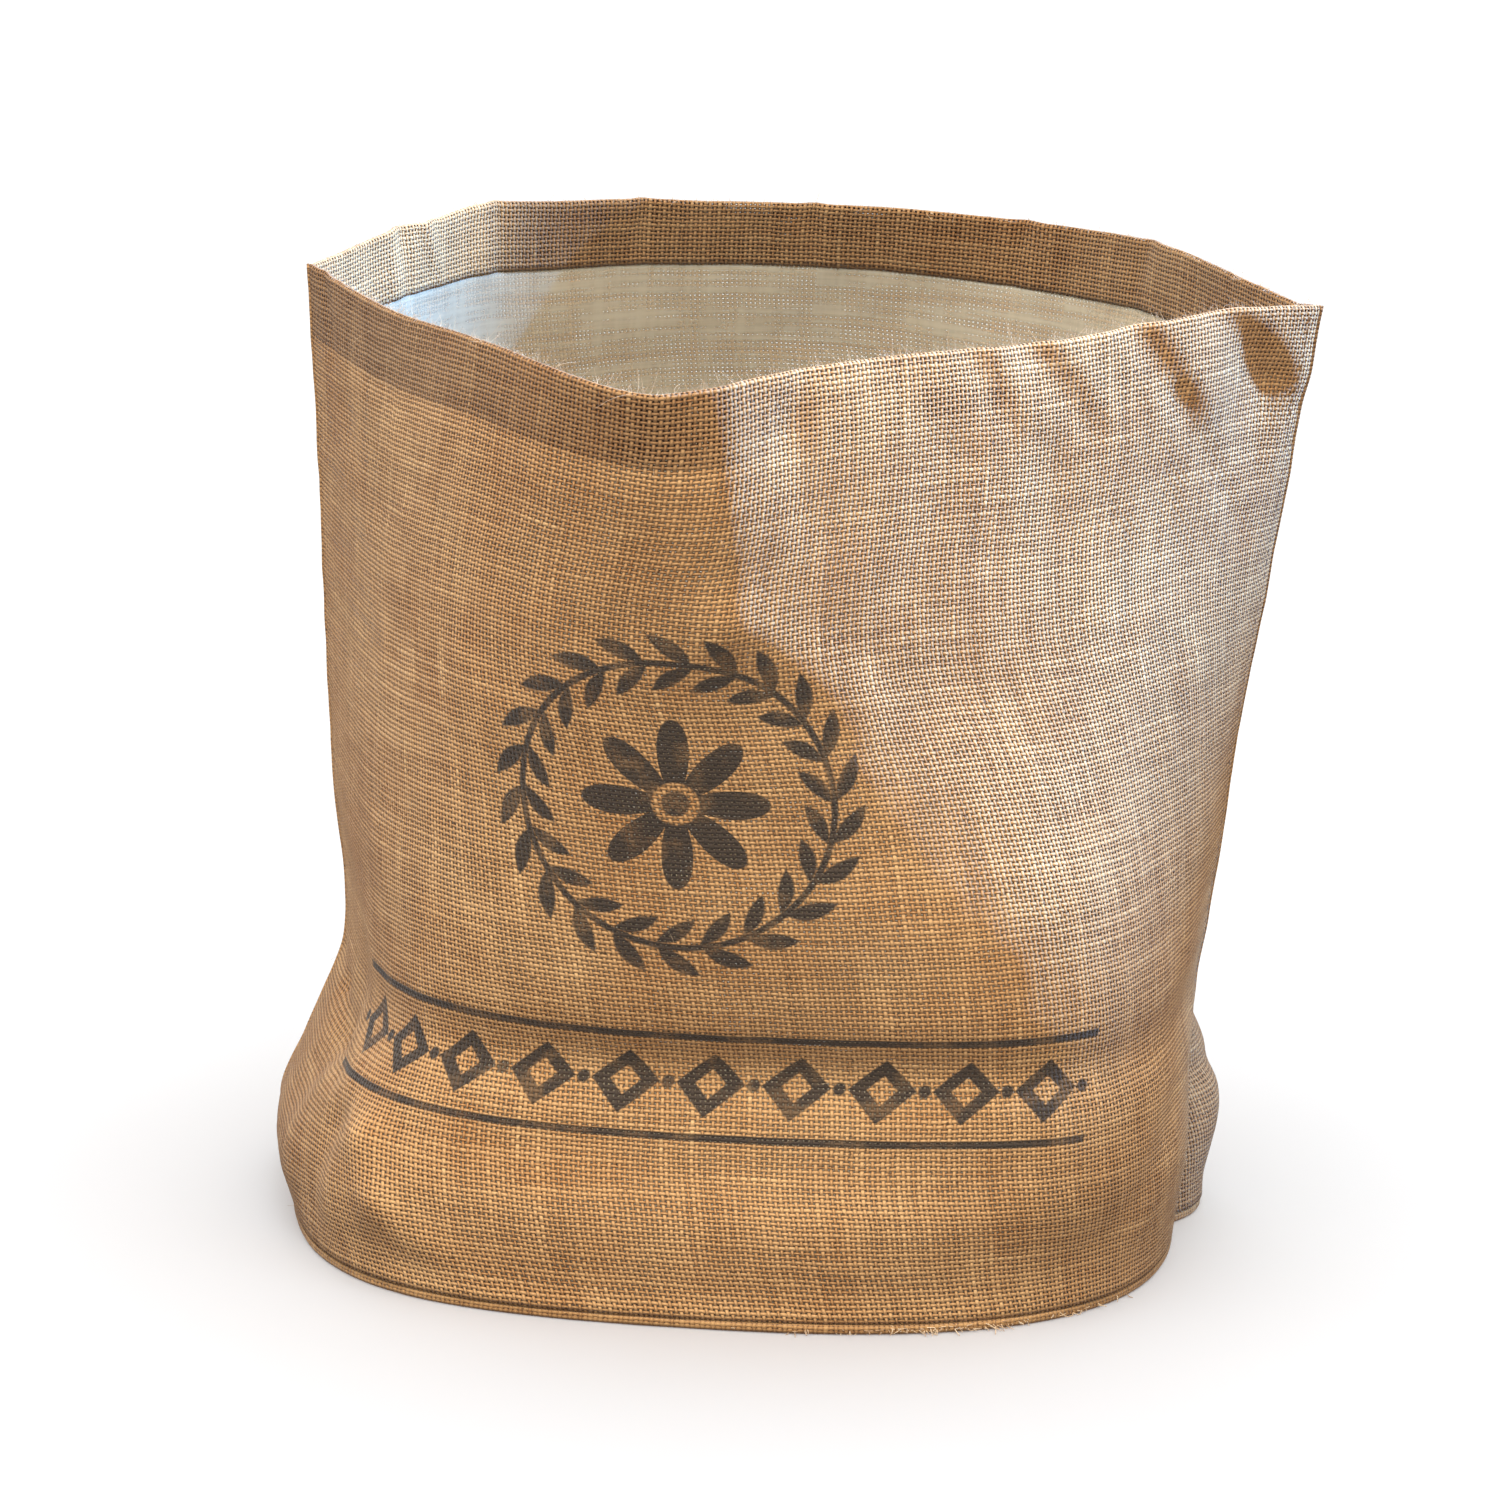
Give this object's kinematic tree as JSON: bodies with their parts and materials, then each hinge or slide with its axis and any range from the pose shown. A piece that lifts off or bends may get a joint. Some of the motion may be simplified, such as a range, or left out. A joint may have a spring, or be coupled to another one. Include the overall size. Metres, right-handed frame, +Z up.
{
  "type": "burlap storage bag",
  "caption": "Open-topped jute storage bag with a round base, turned-in hem and bonded film inside; stands by itself and holds loose goods.",
  "frame": {"origin": "on the floor under the middle of the round base, on the flat underside", "axes": "+Z up, the printed front of the bag faces -Y, +X runs to the viewer's right along the mouth"},
  "size_m": [0.4103, 0.4458, 0.399],
  "materials": {
    "jute": "plain-woven natural jute, matt and slightly hairy",
    "base_jute": "darker plain-woven jute with a rolled seam",
    "film": "thin clear film bonded to the jute, soft sheen"
  },
  "bodies": {
    "root": {"front_panel": "jute", "back_panel": "jute", "base_panel": "base_jute", "film_lining": "film"}
  },
  "joints": []
}
